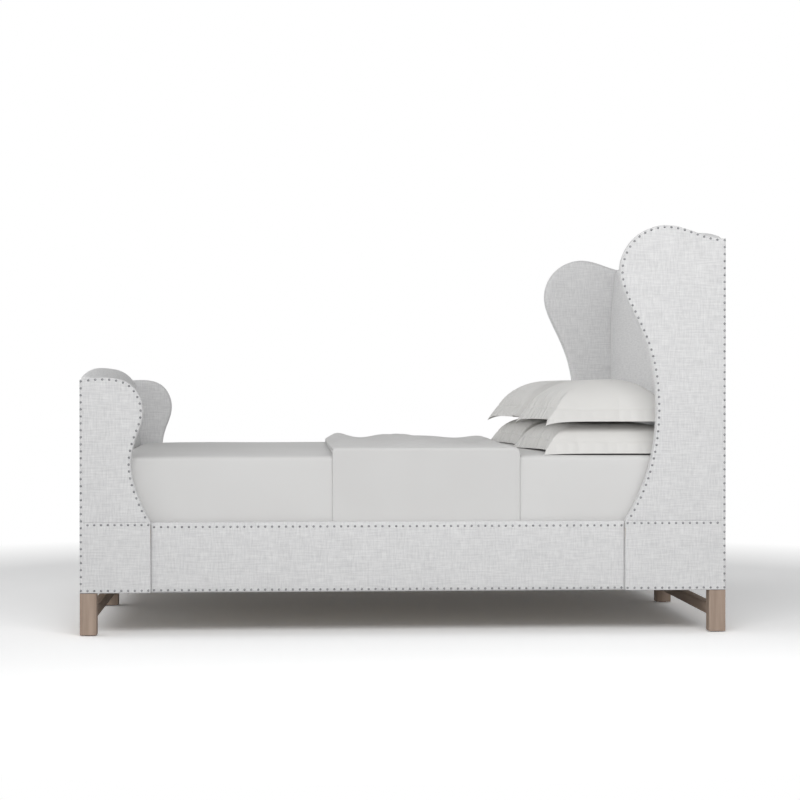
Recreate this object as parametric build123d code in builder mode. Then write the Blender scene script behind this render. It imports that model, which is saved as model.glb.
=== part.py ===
from build123d import *
import os
from math import cos, radians, sin, sqrt

os.makedirs("parts", exist_ok=True)

# A king size bed with upholstered wings at the head and at the foot, dressed with its mattress,
# a folded blanket and stacked pillows. All sizes are in millimetres and degrees.
# X runs from the footboard to the headboard, Y across the bed and Z up from the floor.
# The origin lies on the floor under the middle of the bed.

# Mattress, and the room that the frame leaves round it
mattress_length = 2032
mattress_width = 1930
mattress_height = 304
mattress_edge_radius = 14
mattress_corner_radius = 24
mattress_end_gap = 22
mattress_side_gap = 14
mattress_sink = 76

# Heights of the frame
leg_height = 146
rail_height = 242

# Headboard and footboard panels: heights of their arches are over the side rails
headboard_depth = 82
headboard_crown = 1048
headboard_drop = 62
footboard_depth = 82
footboard_crown = 540
footboard_drop = 40
panel_face_radius = 1864
panel_face_angle = 8
panel_ridge_depth = 18
panel_back_radius = 14
panel_top_pad = 24
back_panel_thickness = 12
frame_thickness = 32
ply_thickness = 9
post_width = 70
top_rail_height = 60
bottom_rail_height = 100

# Wings: a profile holds pairs of depth inside the end face and height over the side rail
wing_thickness = 59
wing_edge_pad = 12
wing_board_thickness = 37
wing_panel_thickness = 3
wing_panel_inset = 6
wing_inner_radius = 16
wing_curve_steps = 24
wing_outer_radius = 3
headboard_seam = 353
headboard_profile = [
    (0, 986), (52, 991), (118, 1012), (210, 1031), (319, 987), (371, 876),
    (328, 733), (271, 600), (242, 411), (256, 241), (headboard_seam, 0),
]
footboard_seam = 242
footboard_profile = [
    (0, 492), (97, 499), (170, 478), (203, 438), (215, 363),
    (192, 291), (175, 200), (194, 105), (footboard_seam, 0),
]

# Side rails, the ledgers under the slats, and the hooks that hang the rails on the wings
rail_thickness = 44
rail_pad = 7
rail_edge_radius = 6
ledger_width = 30
ledger_height = 40
hook_plate_width = 16
hook_plate_height = 120
hook_plate_thickness = 3
hook_thickness = 3
hook_neck_height = 10
hook_reach = 9
hook_drop = 7
hook_spacing = 60
hook_clearance = 0.5

# Slats, centre beam and its hangers
slat_count = 14
slat_width = 70
slat_thickness = 18
slat_end_gap = 20
slat_side_clearance = 3
beam_width = 60
beam_height = 110
hanger_thickness = 3
hanger_seat = 60
hanger_flange = 25

# Legs, stretchers, glides and the bolts that hold the legs
leg_side = 57
leg_inset = 1
leg_chamfer = 1.5
stretcher_height = 38
stretcher_thickness = 28
stretcher_setback = 5
stretcher_floor_gap = 57
tenon_length = 12
tenon_shoulder = 6
glide_radius = 15
glide_thickness = 3
glide_pin_radius = 1.5
glide_pin_length = 15
bolt_radius = 5
bolt_length = 80

# Nail heads
nail_radius = 4
nail_height = 2.6
nail_pitch = 24
nail_inset = 7
nail_edge_inset = 5
nail_top_inset = 15.5
nail_bottom_inset = 9.5

# Blanket folded over the mattress: its puffs are pairs of share of its width and height
blanket_setback = 1267
blanket_width = 657
blanket_side = 10
blanket_gap = 1
blanket_tuck = 38
blanket_edge_radius = 24
blanket_puffs = [
    (0, 22), (0.025, 31), (0.07, 37), (0.15, 30), (0.24, 24), (0.4, 34),
    (0.52, 31), (0.73, 29), (0.9, 25), (0.97, 27), (1, 20),
]

# Pillows in flanged covers: two stacks of two, each set at its own distance from the mattress's
# head end. A profile holds pairs of distance inside the hem and share of the height
pillow_depth = 516
pillow_outer_gap = 25
pillow_middle_gap = 20
pillow_side_draw = 8
pillow_rest_gap = 0.5
lower_pillow_height = 113
upper_pillow_height = 153
lower_pillow_profile = [
    (0, 0), (8, 0.16), (17, 0.31), (28, 0.46), (40, 0.59), (56, 0.71), (76, 0.81), (98, 0.88),
    (122, 0.93), (146, 0.963), (170, 0.984), (194, 1),
]
upper_pillow_profile = [
    (0, 0), (8, 0.08), (25, 0.23), (50, 0.48), (64, 0.585), (87, 0.71), (120, 0.835), (155, 0.925),
    (195, 0.98), (230, 1),
]
lower_pillow_setbacks = {"near": 518, "far": 516}
upper_pillow_setbacks = {"near": 512, "far": 524}

# Places that follow from these sizes
inner_length = mattress_length + 2 * mattress_end_gap
half_inner_width = mattress_width / 2 + mattress_side_gap
half_length = (inner_length + headboard_depth + footboard_depth) / 2
half_width = half_inner_width + wing_thickness
head_face_x = half_length - headboard_depth
foot_face_x = footboard_depth - half_length
well_centre_x = (head_face_x + foot_face_x) / 2
mattress_head_x = well_centre_x + mattress_length / 2
underside = leg_height
rail_top = underside + rail_height
rail_start_x = footboard_seam - half_length
rail_end_x = half_length - headboard_seam
rail_outer_y = half_inner_width + rail_thickness
slat_top = rail_top - mattress_sink
slat_bottom = slat_top - slat_thickness
mattress_top = slat_top + mattress_height
pillow_width = mattress_width / 2 - pillow_outer_gap - pillow_middle_gap / 2
wing_board_inner = wing_panel_thickness + wing_board_thickness
frame_depth = back_panel_thickness + frame_thickness
core_depth = frame_depth + ply_thickness
leg_centre_inset = leg_inset + leg_side / 2

HEAD, FOOT = 1, -1
SIDES = {"near": -1, "far": 1}
COLUMNS = {"near": -1, "middle": 0, "far": 1}


def save(part, name):
    """Label a finished piece and write it to its own file."""
    part.label = name
    export_step(part, f"parts/{name}.step")


def end_x(end, depth):
    """X of a place at a depth inside the head's or the foot's outer face."""
    return end * (half_length - depth)


def side_plane(side, depth):
    """Plane along the bed at a depth inside a side's outer face: its axes are X and Z."""
    return Plane.XZ.offset(-side * (half_width - depth))


def end_plane(end, depth):
    """Plane across the bed at a depth inside an end's outer face: its axes are Y and Z."""
    return Plane.YZ.offset(end_x(end, depth))


def arch_height(y, crown, drop):
    """Height of a panel's top across the bed: level in the middle, falling away to the sides."""
    return rail_top + crown - drop * (abs(y) / half_width) ** 3


def spread(start, stop, pitch):
    """Even places from start to stop, as near to the pitch as whole steps allow."""
    steps = max(1, round(abs(stop - start) / pitch))
    return [start + (stop - start) * step / steps for step in range(steps + 1)]


def block(x_range, y_range, z_range, mode=Mode.ADD):
    """Rectangular block between two places on each axis, given in either order."""
    ranges = [sorted(places) for places in (x_range, y_range, z_range)]
    with Locations(tuple(sum(places) / 2 for places in ranges)):
        Box(*(high - low for low, high in ranges), mode=mode)


def depth_range(end, start, stop):
    """Two X places of a layer between two depths inside an end's outer face."""
    return end_x(end, start), end_x(end, stop)


# Padded panels between the wings

def panel_section(end, depth, top):
    """Outline of a padded panel, cut along the bed: a face that leans back into a rolled top."""
    back, face = end_x(end, 0), end_x(end, depth)
    lean = panel_face_radius * sin(radians(panel_face_angle))
    shoulder_depth = depth - panel_face_radius * (1 - cos(radians(panel_face_angle)))
    shoulder_radius = (shoulder_depth - panel_ridge_depth) / cos(radians(panel_face_angle))
    shoulder = shoulder_radius * (1 - sin(radians(panel_face_angle)))
    with BuildLine() as outline:
        bottom = Line((back, underside), (face, underside))
        front = Line(bottom @ 1, (face, top - lean - shoulder))
        leaning = JernArc(front @ 1, (0, 1), panel_face_radius, -end * panel_face_angle)
        rolled = JernArc(leaning @ 1, leaning % 1, shoulder_radius, -end * (90 - panel_face_angle))
        ridge = Line(rolled @ 1, (end_x(end, panel_back_radius), top))
        rounded = JernArc(ridge @ 1, (end, 0), panel_back_radius, -end * 90)
        Line(rounded @ 1, bottom @ 0)
    make_face(outline.line)


def arch_outline(crown, drop, base, half_span):
    """Outline across the bed, flat at its base, with the arch along its top."""
    places = [half_span * step / 4 for step in range(-4, 5)]
    with BuildLine() as outline:
        top = Spline(*((y, arch_height(y, crown, drop)) for y in places))
        Polyline(top @ 1, (half_span, base), (-half_span, base), top @ 0)
    make_face(outline.line)


def make_panel(name, end, depth, crown, drop):
    """Upholstered panel: timber frame, plywood on its inner face, padding over both, and a back."""
    core_crown = crown - panel_top_pad
    top_rail_base = rail_top + core_crown - drop - top_rail_height
    bottom_rail_top = underside + bottom_rail_height

    with BuildPart() as pad:
        for step in range(-6, 7):
            y = half_inner_width * step / 6
            with BuildSketch(Plane.XZ.offset(-y)):
                panel_section(end, depth, arch_height(y, crown, drop))
        loft()
        with BuildSketch(end_plane(end, 0)):
            arch_outline(core_crown, drop, underside, half_inner_width)
        extrude(amount=-end * core_depth, mode=Mode.SUBTRACT)
    save(pad.part, f"{name}_padding")

    with BuildPart() as ply:
        with BuildSketch(end_plane(end, frame_depth)):
            arch_outline(core_crown, drop, underside, half_inner_width)
        extrude(amount=-end * ply_thickness)
        for place in COLUMNS.values():
            leg_bolt(end, place, mode=Mode.SUBTRACT)
    save(ply.part, f"{name}_plywood")

    with BuildPart() as back:
        with BuildSketch(end_plane(end, 0)):
            arch_outline(core_crown, drop, underside, half_inner_width)
        extrude(amount=-end * back_panel_thickness)
    save(back.part, f"{name}_back_panel")

    with BuildPart() as top_rail:
        with BuildSketch(end_plane(end, back_panel_thickness)):
            arch_outline(core_crown, drop, top_rail_base, half_inner_width)
        extrude(amount=-end * frame_thickness)
    save(top_rail.part, f"{name}_top_rail")

    frame_x = depth_range(end, back_panel_thickness, frame_depth)
    with BuildPart() as bottom_rail:
        block(frame_x, (-half_inner_width, half_inner_width), (underside, bottom_rail_top))
        leg_bolt(end, 0, mode=Mode.SUBTRACT)
    save(bottom_rail.part, f"{name}_bottom_rail")

    with BuildPart() as posts:
        for place in COLUMNS.values():
            middle_y = place * (half_inner_width - post_width / 2)
            y_range = middle_y - post_width / 2, middle_y + post_width / 2
            block(frame_x, y_range, (bottom_rail_top, top_rail_base))
    save(posts.part, f"{name}_posts")


# Wings

def wing_curve(end, profile, inset):
    """Curved edge of a wing from its top corner to the rail top, drawn in by an inset."""
    points = [(end_x(end, depth), rail_top + height) for depth, height in profile]
    with BuildLine() as outer:
        edge = Spline(*points)
    if inset:
        places = [edge @ (step / wing_curve_steps) for step in range(wing_curve_steps + 1)]
        headings = [edge % (step / wing_curve_steps) for step in range(wing_curve_steps + 1)]
        points = [
            (place.X - end * inset * heading.Y, place.Y + end * inset * heading.X)
            for place, heading in zip(places, headings)
        ]
        limits = end_x(end, inset), end_x(end, profile[-1][0] - inset)
        for index, limit in ((0, limits[0]), (-1, limits[1])):
            (x, z), heading = points[index], headings[index]
            points[index] = limit, z + (limit - x) * heading.Y / heading.X
        with BuildLine() as outer:
            edge = Spline(*points)
    return outer.edge()


def wing_face(end, profile, inset=0):
    """Face of a wing: straight end edge, crown, waist and straight side, drawn in all round."""
    curve = wing_curve(end, profile, inset)
    top, bottom = curve @ 0, curve @ 1
    with BuildLine() as sides:
        base = underside + inset
        Polyline(bottom, (bottom.X, base), (top.X, base), top)
    make_face([curve, *sides.edges()])


def wing_board_face(end, profile):
    """Face of a wing's board: padded round its edge, but bare where the side rail hangs on it."""
    wing_face(end, profile, wing_edge_pad)
    seam = profile[-1][0]
    with Locations((end_x(end, seam - wing_edge_pad), underside + rail_height / 2)):
        Rectangle(2 * wing_edge_pad, rail_height - 4 * wing_edge_pad)


def make_wing(name, end, profile, side_name):
    """Wing: a board, padding wrapped round it, and covered panels over and under the seam."""
    side = SIDES[side_name]
    seam = profile[-1][0]

    with BuildPart() as board:
        with BuildSketch(side_plane(side, wing_panel_thickness)):
            wing_board_face(end, profile)
        extrude(amount=side * wing_board_thickness)
        leg_bolt(end, side, mode=Mode.SUBTRACT)
        hook_pocket(end, seam, side)
    save(board.part, f"{name}_wing_board_{side_name}")

    with BuildPart() as cover:
        with BuildSketch(side_plane(side, 0)):
            wing_face(end, profile)
        extrude(amount=side * wing_thickness)
        outer, inner = cover.edges().filter_by(GeomType.BSPLINE).sort_by(
            lambda edge: -side * edge.center().Y
        )
        fillet(inner, wing_inner_radius)
        fillet(outer, wing_outer_radius)
        with BuildSketch(side_plane(side, wing_panel_thickness)):
            wing_board_face(end, profile)
        extrude(amount=side * wing_board_thickness, mode=Mode.SUBTRACT)
        with BuildSketch(side_plane(side, 0)):
            wing_face(end, profile, wing_panel_inset)
        extrude(amount=side * wing_panel_thickness, mode=Mode.SUBTRACT)
        leg_bolt(end, side, mode=Mode.SUBTRACT)
    save(cover.part, f"{name}_wing_cover_{side_name}")

    panel_z = underside + wing_panel_inset, rail_top
    middle_x = end_x(end, seam / 2)
    with BuildPart() as panel:
        with BuildSketch(side_plane(side, 0)):
            wing_face(end, profile, wing_panel_inset)
            with Locations((middle_x, (underside + rail_top) / 2)):
                Rectangle(seam, rail_height, mode=Mode.SUBTRACT)
        extrude(amount=side * wing_panel_thickness)
    save(panel.part, f"{name}_wing_panel_{side_name}")

    with BuildPart() as side_panel:
        with BuildSketch(side_plane(side, 0)):
            wing_face(end, profile, wing_panel_inset)
            with Locations((middle_x, sum(panel_z) / 2)):
                Rectangle(seam, panel_z[1] - panel_z[0], mode=Mode.INTERSECT)
        extrude(amount=side * wing_panel_thickness)
    save(side_panel.part, f"{name}_side_panel_{side_name}")


# Side rails, with plates and hooks that hang them on the wings

def hook_plate_y(side):
    """Middle of the hook plates across the bed: where the wing's board and the rail's board meet."""
    outer = rail_outer_y - rail_pad
    inner = half_width - wing_board_inner
    return side * (outer + inner) / 2


def hook_heights():
    """Heights of the two hooks on each end of a side rail."""
    middle = underside + rail_height / 2
    return middle - hook_spacing / 2, middle + hook_spacing / 2


def hook_plate(end, seam, side, outward, mode=Mode.ADD):
    """Plate set into a board where rail and wing meet, on the rail's side or on the wing's."""
    seam_x = end_x(end, seam)
    middle_y = hook_plate_y(side)
    middle_z = underside + rail_height / 2
    block(
        (seam_x, seam_x + end * outward * hook_plate_thickness),
        (middle_y - hook_plate_width / 2, middle_y + hook_plate_width / 2),
        (middle_z - hook_plate_height / 2, middle_z + hook_plate_height / 2),
        mode=mode,
    )


def hook_slots(end, seam, side, start, mode=Mode.SUBTRACT):
    """Room round each hook, from a depth behind the wing's edge to just past the hook's tip."""
    seam_x = end_x(end, seam)
    middle_y = hook_plate_y(side)
    half = hook_thickness / 2 + hook_clearance
    reach = hook_plate_thickness + hook_reach + hook_clearance
    for z in hook_heights():
        block(
            (seam_x + end * start, seam_x + end * reach),
            (middle_y - half, middle_y + half),
            (z - hook_neck_height / 2 - hook_drop - hook_clearance,
             z + hook_neck_height / 2 + hook_drop + hook_clearance),
            mode=mode,
        )


def hook_pocket(end, seam, side):
    """Recess in the wing's board for its plate, and the room behind it for the hooks."""
    hook_plate(end, seam, side, 1, mode=Mode.SUBTRACT)
    hook_slots(end, seam, side, hook_plate_thickness)


def make_rail(side_name):
    """Side rail: a board wrapped in padding, with the ledger that carries the slats."""
    side = SIDES[side_name]
    outer, inner = side * rail_outer_y, side * half_inner_width
    rail_x = rail_start_x, rail_end_x

    with BuildPart() as board:
        block(
            rail_x,
            (outer - side * rail_pad, inner + side * rail_pad),
            (underside + rail_pad, rail_top - rail_pad),
        )
        hook_plate(FOOT, footboard_seam, side, -1, mode=Mode.SUBTRACT)
        hook_plate(HEAD, headboard_seam, side, -1, mode=Mode.SUBTRACT)
    save(board.part, f"rail_board_{side_name}")

    with BuildPart() as cover:
        block(rail_x, (outer, inner), (underside, rail_top))
        fillet(cover.edges().filter_by(Axis.X), rail_edge_radius)
        block(
            rail_x,
            (outer - side * rail_pad, inner + side * rail_pad),
            (underside + rail_pad, rail_top - rail_pad),
            mode=Mode.SUBTRACT,
        )
    save(cover.part, f"rail_cover_{side_name}")

    with BuildPart() as ledger:
        block(
            (foot_face_x, head_face_x),
            (inner, inner - side * ledger_width),
            (slat_bottom - ledger_height, slat_bottom),
        )
    save(ledger.part, f"slat_ledger_{side_name}")


def make_hooks():
    """Hooked plates on the four rail ends, and the slotted plates that they drop into."""
    corners = [
        (end, seam, side)
        for end, seam in ((FOOT, footboard_seam), (HEAD, headboard_seam))
        for side in SIDES.values()
    ]
    with BuildPart() as hooks:
        for end, seam, side in corners:
            seam_x = end_x(end, seam)
            middle_y = hook_plate_y(side)
            hook_plate(end, seam, side, -1)
            for z in hook_heights():
                neck_end = seam_x + end * (hook_plate_thickness + hook_clearance)
                tip = seam_x + end * (hook_plate_thickness + hook_reach)
                y_range = middle_y - hook_thickness / 2, middle_y + hook_thickness / 2
                neck_z = z - hook_neck_height / 2, z + hook_neck_height / 2
                block((seam_x, neck_end), y_range, neck_z)
                block((neck_end, tip), y_range, (neck_z[0] - hook_drop, neck_z[1]))
    save(hooks.part, "rail_hooks")

    with BuildPart() as plates:
        for end, seam, side in corners:
            hook_plate(end, seam, side, 1)
            hook_slots(end, seam, side, 0)
    save(plates.part, "hook_plates")


# Slats and the beam down the middle

def make_slats():
    """Row of slats laid across the ledgers and the centre beam."""
    first = foot_face_x + slat_end_gap + slat_width / 2
    last = head_face_x - slat_end_gap - slat_width / 2
    half_span = half_inner_width - slat_side_clearance
    with BuildPart() as slats:
        for index in range(slat_count):
            x = first + (last - first) * index / (slat_count - 1)
            block(
                (x - slat_width / 2, x + slat_width / 2),
                (-half_span, half_span),
                (slat_bottom, slat_top),
            )
    save(slats.part, "slats")


def make_beam():
    """Centre beam under the slats, held at each end in a steel hanger on the panel."""
    beam_z = slat_bottom - beam_height, slat_bottom
    half_beam = beam_width / 2
    with BuildPart() as beam:
        block(
            (foot_face_x + hanger_thickness, head_face_x - hanger_thickness),
            (-half_beam, half_beam),
            beam_z,
        )
    save(beam.part, "centre_beam")

    half_plate = half_beam + hanger_thickness + hanger_flange
    with BuildPart() as hangers:
        for end, face_x in ((FOOT, foot_face_x), (HEAD, head_face_x)):
            plate_x = face_x - end * hanger_thickness
            seat_x = plate_x - end * hanger_seat
            seat_bottom = beam_z[0] - hanger_thickness
            block((face_x, plate_x), (-half_plate, half_plate), (seat_bottom, beam_z[1]))
            block((plate_x, seat_x), (-half_beam, half_beam), (seat_bottom, beam_z[0]))
            for side in SIDES.values():
                cheek_y = side * half_beam, side * (half_beam + hanger_thickness)
                block((plate_x, seat_x), cheek_y, (seat_bottom, beam_z[1]))
    save(hangers.part, "beam_hangers")


# Legs

def leg_y(place):
    """Middle of a leg across the bed, for a place of -1, 0 or 1."""
    return place * (half_width - leg_centre_inset)


def upright(end, place, radius, low, high, mode=Mode.ADD):
    """Upright round bar on a leg's centre line, between two heights."""
    with Locations((end_x(end, leg_centre_inset), leg_y(place), (low + high) / 2)):
        Cylinder(radius, high - low, mode=mode)


def leg_bolt(end, place, mode=Mode.ADD):
    """Bolt half in the leg and half in the frame over it."""
    upright(end, place, bolt_radius, underside - bolt_length / 2, underside + bolt_length / 2, mode)


def glide_pin(end, place, mode=Mode.ADD):
    """Pin of a glide, driven up into the leg."""
    upright(end, place, glide_pin_radius, glide_thickness, glide_thickness + glide_pin_length, mode)


def stretcher_x(end, inset=0):
    """Two X places of a stretcher, drawn in by an inset on both faces."""
    inner = leg_inset + leg_side - stretcher_setback
    return depth_range(end, inner - stretcher_thickness + inset, inner - inset)


def stretcher_z(inset=0):
    """Two heights of a stretcher, drawn in by an inset above and below."""
    return stretcher_floor_gap + inset, stretcher_floor_gap + stretcher_height - inset


def tenon(end, place, towards, mode=Mode.ADD):
    """Tenon of a stretcher in the face of a leg that looks towards a side."""
    face_y = leg_y(place) + towards * leg_side / 2
    block(
        stretcher_x(end, tenon_shoulder),
        (face_y, face_y - towards * tenon_length),
        stretcher_z(tenon_shoulder),
        mode=mode,
    )


def make_legs(name, end):
    """Three legs at one end of the bed, joined by two stretchers with tenons."""
    for place_name, place in COLUMNS.items():
        with BuildPart() as leg:
            middle_y = leg_y(place)
            block(
                depth_range(end, leg_inset, leg_inset + leg_side),
                (middle_y - leg_side / 2, middle_y + leg_side / 2),
                (glide_thickness, underside),
            )
            chamfer(leg.edges().filter_by(Axis.Z), leg_chamfer)
            for towards in SIDES.values():
                if towards != place:
                    tenon(end, place, towards, mode=Mode.SUBTRACT)
            leg_bolt(end, place, mode=Mode.SUBTRACT)
            glide_pin(end, place, mode=Mode.SUBTRACT)
        save(leg.part, f"{name}_leg_{place_name}")

    with BuildPart() as stretchers:
        for side in SIDES.values():
            outer_y = leg_y(side) - side * leg_side / 2
            inner_y = side * leg_side / 2
            block(stretcher_x(end), (inner_y, outer_y), stretcher_z())
            tenon(end, side, -side)
            tenon(end, 0, side)
    save(stretchers.part, f"{name}_leg_stretchers")


def make_leg_hardware():
    """Glides under the six legs, and the bolts over them."""
    with BuildPart() as glides:
        for end in (FOOT, HEAD):
            for place in COLUMNS.values():
                upright(end, place, glide_radius, 0, glide_thickness)
                glide_pin(end, place)
    save(glides.part, "leg_glides")

    with BuildPart() as bolts:
        for end in (FOOT, HEAD):
            for place in COLUMNS.values():
                leg_bolt(end, place)
    save(bolts.part, "leg_bolts")


# Nail heads

def make_nails(name, places):
    """Group of domed nail heads, each with its flat side on the fabric at X, Z of a side's face."""
    with BuildPart() as dome:
        with BuildSketch(Plane.XZ):
            with BuildLine():
                base = Line((0, 0), (nail_radius, 0))
                top = ThreePointArc(base @ 1, nail_shoulder(), (0, nail_height))
                Line(top @ 1, base @ 0)
            make_face()
        revolve(axis=Axis.Z)
    heads = []
    for x, z, side, face_y in places:
        seat = Plane(origin=(x, side * face_y, z), x_dir=(1, 0, 0), z_dir=(0, side, 0))
        heads.append(dome.part.solid().moved(seat.location))
    group = Part(children=heads)
    save(group, name)


def nail_shoulder():
    """Point half way along the arc of a nail head that starts at its rim and ends at its crown."""
    sphere = (nail_radius ** 2 + nail_height ** 2) / (2 * nail_height)
    return nail_radius / 2, sqrt(sphere ** 2 - nail_radius ** 2 / 4) - (sphere - nail_height)


def wing_nails(end, profile):
    """X and Z of the nails on one wing: end edge, curved edge, seam and bottom row."""
    curve = wing_curve(end, profile, nail_inset)
    steps = round(curve.length / nail_pitch)
    curved = [curve.position_at(step / steps) for step in range(1, steps + 1)]
    nails = [(point.X, point.Y) for point in curved if point.Y > rail_top]
    edge_x = end_x(end, nail_edge_inset)
    bottom_z = underside + nail_bottom_inset
    nails += [(edge_x, z) for z in spread(bottom_z, (curve @ 0).Y, nail_pitch)]
    row = spread(edge_x, end_x(end, profile[-1][0] - nail_inset), nail_pitch)[1:]
    nails += [(x, z) for z in (rail_top - nail_inset, bottom_z) for x in row]
    return nails


def make_end_nails(name, end, profile):
    """Nail heads on both wings of one end."""
    places = wing_nails(end, profile)
    make_nails(name, [(x, z, side, half_width) for side in SIDES.values() for x, z in places])


def make_rail_nails():
    """Nail heads along the top and the bottom of both side rails."""
    first, last = rail_start_x + nail_pitch / 2, rail_end_x - nail_pitch / 2
    rows = rail_top - nail_top_inset, underside + nail_bottom_inset
    make_nails("rail_nails", [
        (x, z, side, rail_outer_y)
        for side in SIDES.values()
        for z in rows
        for x in spread(first, last, nail_pitch)
    ])


# Bedding

def make_mattress():
    """Mattress with rounded corners and edges."""
    with BuildPart() as mattress:
        block(
            (well_centre_x - mattress_length / 2, well_centre_x + mattress_length / 2),
            (-mattress_width / 2, mattress_width / 2),
            (slat_top, mattress_top),
        )
        fillet(mattress.edges().filter_by(Axis.Z), mattress_corner_radius)
        faces = mattress.faces().filter_by(Axis.Z)
        fillet(faces.edges(), mattress_edge_radius)
    save(mattress.part, "mattress")


def blanket_section(height):
    """Outline of the blanket cut across the bed: a band over the mattress and down both sides."""
    inner_y = mattress_width / 2 + blanket_gap
    outer_y = inner_y + blanket_side
    hem = rail_top - blanket_tuck
    inner_top = mattress_top + blanket_gap
    inner_radius = mattress_edge_radius + blanket_gap
    top = mattress_top + height
    with BuildLine() as outline:
        Polyline(
            (-inner_y, inner_top - inner_radius), (-inner_y, hem), (-outer_y, hem),
            (-outer_y, top - blanket_edge_radius),
        )
        RadiusArc(
            (-outer_y, top - blanket_edge_radius), (-outer_y + blanket_edge_radius, top),
            blanket_edge_radius,
        )
        Line((-outer_y + blanket_edge_radius, top), (outer_y - blanket_edge_radius, top))
        RadiusArc(
            (outer_y - blanket_edge_radius, top), (outer_y, top - blanket_edge_radius),
            blanket_edge_radius,
        )
        Polyline(
            (outer_y, top - blanket_edge_radius), (outer_y, hem), (inner_y, hem),
            (inner_y, inner_top - inner_radius),
        )
        RadiusArc(
            (inner_y, inner_top - inner_radius), (inner_y - inner_radius, inner_top),
            -inner_radius,
        )
        Line((inner_y - inner_radius, inner_top), (-inner_y + inner_radius, inner_top))
        RadiusArc(
            (-inner_y + inner_radius, inner_top), (-inner_y, inner_top - inner_radius),
            -inner_radius,
        )
    make_face(outline.line)


def make_blanket():
    """Folded blanket: its top rises and falls in soft puffs along the bed."""
    with BuildPart() as blanket:
        for share, height in blanket_puffs:
            x = mattress_head_x - blanket_setback + share * blanket_width
            with BuildSketch(Plane.YZ.offset(x)):
                blanket_section(height)
        loft()
    save(blanket.part, "folded_blanket")


def pillow_outline(half_depth, half_span, bulge):
    """Outline of a level cut through a pillow: its sides bow by the bulge between the corners."""
    corners = [
        (half_depth, -half_span), (half_depth, half_span), (-half_depth, half_span),
        (-half_depth, -half_span),
    ]
    middles = [
        (half_depth + bulge, 0), (0, half_span + bulge), (-half_depth - bulge, 0),
        (0, -half_span - bulge),
    ]
    with BuildLine() as outline:
        for index, middle in enumerate(middles):
            ThreePointArc(corners[index], middle, corners[(index + 1) % 4])
    make_face(outline.line)


def make_pillow(name, setback, side, bottom, height, profile):
    """Pillow in a flanged cover: drawn in at its hem, with ridges up to the crown from its corners."""
    half_depth = pillow_depth / 2
    half_span = pillow_width / 2
    reach = profile[-1][0]
    middle_y = side * (pillow_middle_gap / 2 + half_span)
    place = Location((mattress_head_x - setback + half_depth, middle_y, bottom))
    with BuildPart() as pillow:
        for inside, share in profile:
            bulge = pillow_side_draw * (2 * inside / reach - 1)
            with BuildSketch(Plane.XY.offset(height * share)):
                pillow_outline(half_depth - inside, half_span - inside, bulge)
        loft()
    save(pillow.part.moved(place), name)


def make_pillows():
    """Two layers of two pillows against the headboard."""
    lower_bottom = mattress_top + pillow_rest_gap
    upper_bottom = lower_bottom + lower_pillow_height + pillow_rest_gap
    for side_name, side in SIDES.items():
        make_pillow(
            f"lower_pillow_{side_name}", lower_pillow_setbacks[side_name], side,
            lower_bottom, lower_pillow_height, lower_pillow_profile,
        )
        make_pillow(
            f"upper_pillow_{side_name}", upper_pillow_setbacks[side_name], side,
            upper_bottom, upper_pillow_height, upper_pillow_profile,
        )


make_panel("headboard", HEAD, headboard_depth, headboard_crown, headboard_drop)
make_panel("footboard", FOOT, footboard_depth, footboard_crown, footboard_drop)
for side_name in SIDES:
    make_wing("headboard", HEAD, headboard_profile, side_name)
    make_wing("footboard", FOOT, footboard_profile, side_name)
    make_rail(side_name)
make_hooks()
make_slats()
make_beam()
make_legs("head", HEAD)
make_legs("foot", FOOT)
make_leg_hardware()
make_end_nails("headboard_nails", HEAD, headboard_profile)
make_end_nails("footboard_nails", FOOT, footboard_profile)
make_rail_nails()
make_mattress()
make_blanket()
make_pillows()
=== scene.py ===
"""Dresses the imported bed: upholstery, bedding, materials, a plain studio and the camera."""

from math import cos, pi, radians, sin

import bmesh
import bpy
import numpy as np
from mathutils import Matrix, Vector, geometry, noise


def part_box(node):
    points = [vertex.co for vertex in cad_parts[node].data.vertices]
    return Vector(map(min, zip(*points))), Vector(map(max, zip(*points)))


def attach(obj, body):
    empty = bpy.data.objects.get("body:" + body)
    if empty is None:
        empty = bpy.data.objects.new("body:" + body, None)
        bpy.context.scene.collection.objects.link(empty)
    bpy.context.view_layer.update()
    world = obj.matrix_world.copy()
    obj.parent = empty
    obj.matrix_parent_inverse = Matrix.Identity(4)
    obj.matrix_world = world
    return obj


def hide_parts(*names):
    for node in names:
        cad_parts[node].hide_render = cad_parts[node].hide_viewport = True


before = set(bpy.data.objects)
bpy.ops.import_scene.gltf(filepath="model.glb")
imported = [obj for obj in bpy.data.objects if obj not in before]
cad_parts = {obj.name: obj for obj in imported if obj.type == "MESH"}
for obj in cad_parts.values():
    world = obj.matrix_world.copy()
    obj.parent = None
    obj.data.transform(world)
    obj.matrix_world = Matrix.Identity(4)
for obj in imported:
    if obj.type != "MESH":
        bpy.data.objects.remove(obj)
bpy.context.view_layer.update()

# Sizes in metres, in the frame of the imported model
HALF_LENGTH, HALF_WIDTH, HALF_INNER = 1.120, 1.038, 0.979
UNDERSIDE, RAIL_TOP = 0.146, 0.388
PANEL_DEPTH = 0.082
PANEL_FACE_RADIUS, PANEL_FACE_ANGLE = 1.864, radians(8)
PANEL_RIDGE, PANEL_BACK_RADIUS = 0.018, 0.014
PANEL_TOP_PAD = 0.024
HEAD, FOOT = 1, -1
SIDES = {"near": -1, "far": 1}

# Spacing of points along straight edges, along the wings' curves and along the rails
EDGE_STEP, CURVE_STEP, RAIL_STEP = 0.012, 0.008, 0.016

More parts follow.
